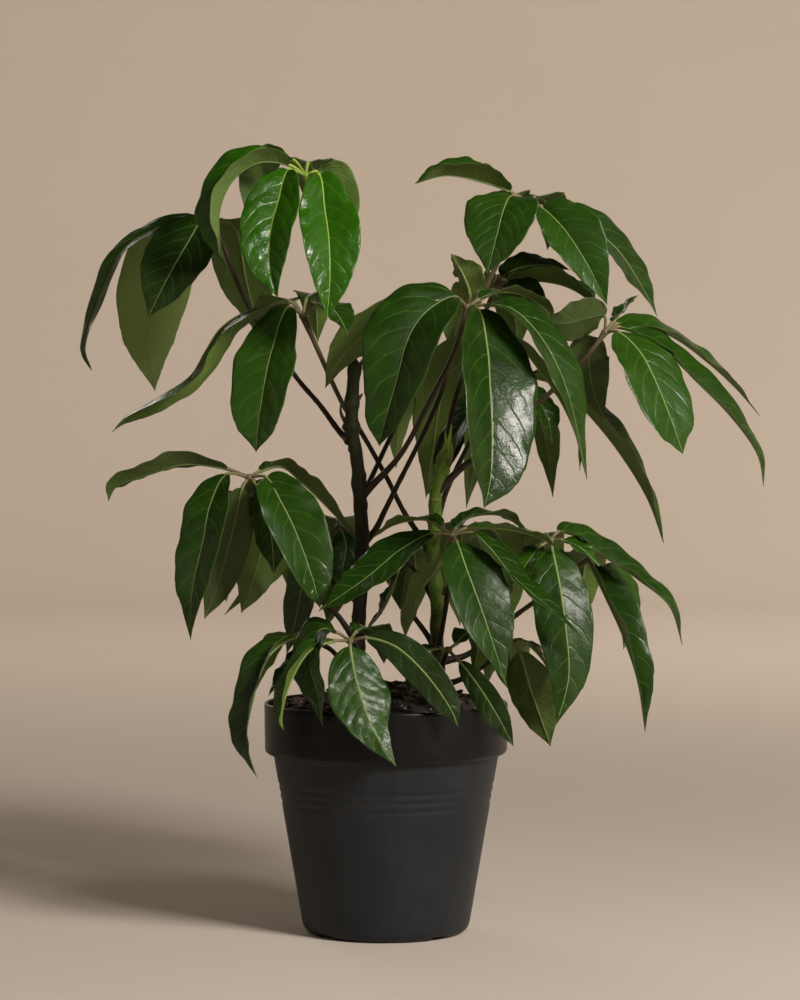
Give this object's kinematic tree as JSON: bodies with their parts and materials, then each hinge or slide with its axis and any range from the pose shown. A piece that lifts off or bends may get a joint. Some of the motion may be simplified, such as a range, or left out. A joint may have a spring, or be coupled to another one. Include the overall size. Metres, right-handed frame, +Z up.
{
  "type": "potted umbrella plant",
  "caption": "Umbrella plant with drooping palmate leaves on long stalks, standing in a tapered black nursery pot with a deep collar.",
  "frame": {"origin": "middle of the pot's flat underside, on the surface it stands on", "axes": "+Z up, -Y towards the front of the plant as the picture shows it, +X to the right of that view"},
  "size_m": [0.6913, 0.4412, 0.7858],
  "materials": {
    "pot_plastic": "satin moulded charcoal-black plastic",
    "potting_soil": "moist dark potting soil with bark and perlite",
    "brown_stem": "dark brown-green young bark with leaf scars",
    "green_stem": "green young stem, brown towards the soil",
    "young_leaf": "very glossy bright green young leaf",
    "grown_leaf": "glossy dark green leaf with pale midribs and a matt olive underside",
    "shaded_leaf": "satin dark olive leaf seen mostly from below"
  },
  "bodies": {
    "root": {"pot": "pot_plastic", "soil": "potting_soil", "stem_left": "brown_stem", "stem_right": "green_stem", "leaf_back_left": "shaded_leaf", "leaf_back_low": "shaded_leaf", "leaf_back_upper": "shaded_leaf", "leaf_base_front": "grown_leaf", "leaf_base_left": "shaded_leaf", "leaf_base_right": "shaded_leaf", "leaf_centre": "grown_leaf", "leaf_centre_back": "shaded_leaf", "leaf_crown_left": "grown_leaf", "leaf_crown_right": "grown_leaf", "leaf_crown_young": "young_leaf", "leaf_inner_back": "shaded_leaf", "leaf_inner_centre": "shaded_leaf", "leaf_low_centre": "grown_leaf", "leaf_low_right": "grown_leaf", "leaf_mid_left": "grown_leaf", "leaf_outer_right": "grown_leaf", "leaf_right": "grown_leaf", "leaf_right_back": "shaded_leaf", "leaf_rim_right": "shaded_leaf", "leaf_upper_left": "grown_leaf"}
  },
  "joints": []
}
